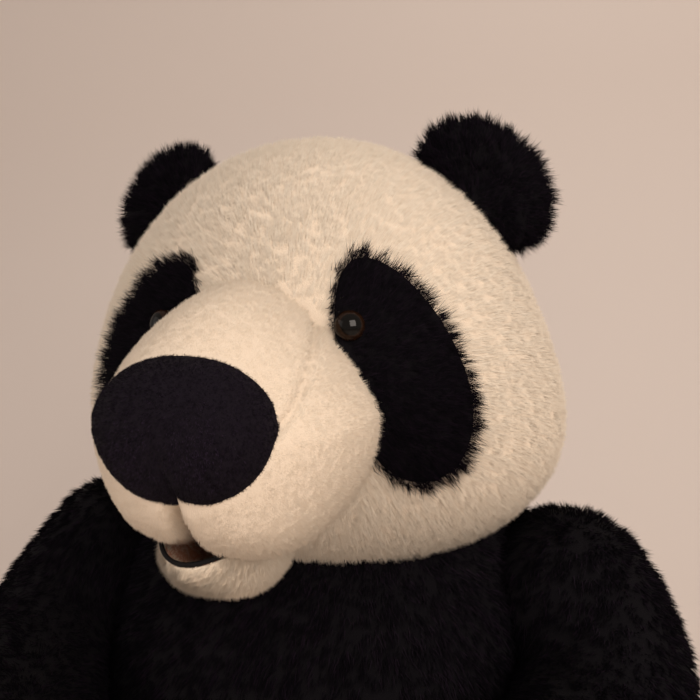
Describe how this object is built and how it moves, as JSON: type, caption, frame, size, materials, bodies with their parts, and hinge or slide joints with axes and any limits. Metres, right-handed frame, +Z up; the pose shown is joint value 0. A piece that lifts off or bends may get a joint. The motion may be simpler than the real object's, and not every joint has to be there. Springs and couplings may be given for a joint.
{
  "type": "plush panda",
  "caption": "Large sitting plush panda: cream and black plush over fibre filling, padded nose, lined mouth, safety eyes and soft flexing seams.",
  "frame": {"origin": "on the floor, in the middle of the flat base panel that the panda sits on", "axes": "+Z up, the panda faces -Y, and its own left side is at +X"},
  "size_m": [0.5444, 0.5046, 0.6277],
  "materials": {
    "cream_plush": "medium-pile cream plush, soft directional nap",
    "black_plush": "medium-pile black plush with a faint violet-grey sheen",
    "nose_velour": "short black velour with a violet tint",
    "pad_suede": "brown suede cloth",
    "mouth_lining": "rust-brown fine-ribbed woven cloth",
    "lip_cord": "twisted black cord",
    "eye_plastic": "polished dark brown plastic with a black pupil",
    "washer_plastic": "moulded white plastic",
    "fibre_filling": "white polyester fibre",
    "bag_cloth": "unbleached woven cotton",
    "label_satin": "plain satin tape, blank"
  },
  "bodies": {
    "torso": {"chest_panel": "black_plush", "upper_back_panel": "black_plush", "belly_panel": "cream_plush", "lower_back_panel": "cream_plush", "base_panel": "cream_plush", "torso_filling": "fibre_filling", "pellet_bag": "bag_cloth", "blank_label": "label_satin"},
    "neck": {"neck_filling": "fibre_filling"},
    "head": {"face_panel": "cream_plush", "rear_head_panel": "cream_plush", "head_filling": "fibre_filling", "eye_patch_left": "black_plush", "eye_patch_right": "black_plush", "eye_left": "eye_plastic", "eye_right": "eye_plastic", "eye_washer_left": "washer_plastic", "eye_washer_right": "washer_plastic", "muzzle_bridge": "cream_plush", "muzzle_cheek_left": "cream_plush", "muzzle_cheek_right": "cream_plush", "muzzle_filling": "fibre_filling", "nose_cover": "nose_velour", "nose_pad": "fibre_filling", "chin_cover": "cream_plush", "chin_filling": "fibre_filling", "mouth_lining": "mouth_lining", "lip_piping": "lip_cord"},
    "tail": {"tail_cover": "cream_plush", "tail_filling": "fibre_filling"},
    "ear_left": {"ear_back_left": "black_plush", "ear_front_left": "black_plush", "ear_filling_left": "fibre_filling"},
    "arm_left": {"arm_cover_left": "black_plush", "arm_filling_left": "fibre_filling", "paw_pad_left": "pad_suede"},
    "leg_left": {"leg_cover_left": "black_plush", "leg_filling_left": "fibre_filling", "foot_pad_left": "pad_suede"},
    "ear_right": {"ear_back_right": "black_plush", "ear_front_right": "black_plush", "ear_filling_right": "fibre_filling"},
    "arm_right": {"arm_cover_right": "black_plush", "arm_filling_right": "fibre_filling", "paw_pad_right": "pad_suede"},
    "leg_right": {"leg_cover_right": "black_plush", "leg_filling_right": "fibre_filling", "foot_pad_right": "pad_suede"}
  },
  "joints": [
    {"name": "neck_turn", "type": "hinge", "parent": "torso", "child": "neck", "pos_m": [0, 0, 0.46], "axis": [0, 0, 1], "range_deg": [-25, 25], "stiffness_Nm_per_rad": 3},
    {"name": "head_nod", "type": "hinge", "parent": "neck", "child": "head", "pos_m": [0, 0, 0.46], "axis": [1, 0, 0], "range_deg": [-12, 2], "stiffness_Nm_per_rad": 8},
    {"name": "ear_left_flex", "type": "hinge", "parent": "head", "child": "ear_left", "pos_m": [0.1029, 0, 0.5666], "axis": [0.7193, 0, -0.6947], "range_deg": [-15, 15], "stiffness_Nm_per_rad": 0.3},
    {"name": "shoulder_left", "type": "hinge", "parent": "torso", "child": "arm_left", "pos_m": [0.177, -0.005, 0.3], "axis": [1, 0, 0], "range_deg": [-30, 14], "stiffness_Nm_per_rad": 5},
    {"name": "hip_left", "type": "hinge", "parent": "torso", "child": "leg_left", "pos_m": [0.18, -0.035, 0.0735], "axis": [1, 0, 0], "range_deg": [-20, 0], "stiffness_Nm_per_rad": 6},
    {"name": "ear_right_flex", "type": "hinge", "parent": "head", "child": "ear_right", "pos_m": [-0.1029, 0, 0.5666], "axis": [0.7193, 0, 0.6947], "range_deg": [-15, 15], "stiffness_Nm_per_rad": 0.3},
    {"name": "shoulder_right", "type": "hinge", "parent": "torso", "child": "arm_right", "pos_m": [-0.177, -0.005, 0.3], "axis": [1, 0, 0], "range_deg": [-30, 14], "stiffness_Nm_per_rad": 5},
    {"name": "hip_right", "type": "hinge", "parent": "torso", "child": "leg_right", "pos_m": [-0.18, -0.035, 0.0735], "axis": [1, 0, 0], "range_deg": [-20, 0], "stiffness_Nm_per_rad": 6},
    {"name": "tail_flex", "type": "hinge", "parent": "torso", "child": "tail", "pos_m": [0, 0.1635, 0.075], "axis": [1, 0, 0], "range_deg": [-15, 15], "stiffness_Nm_per_rad": 0.3}
  ]
}
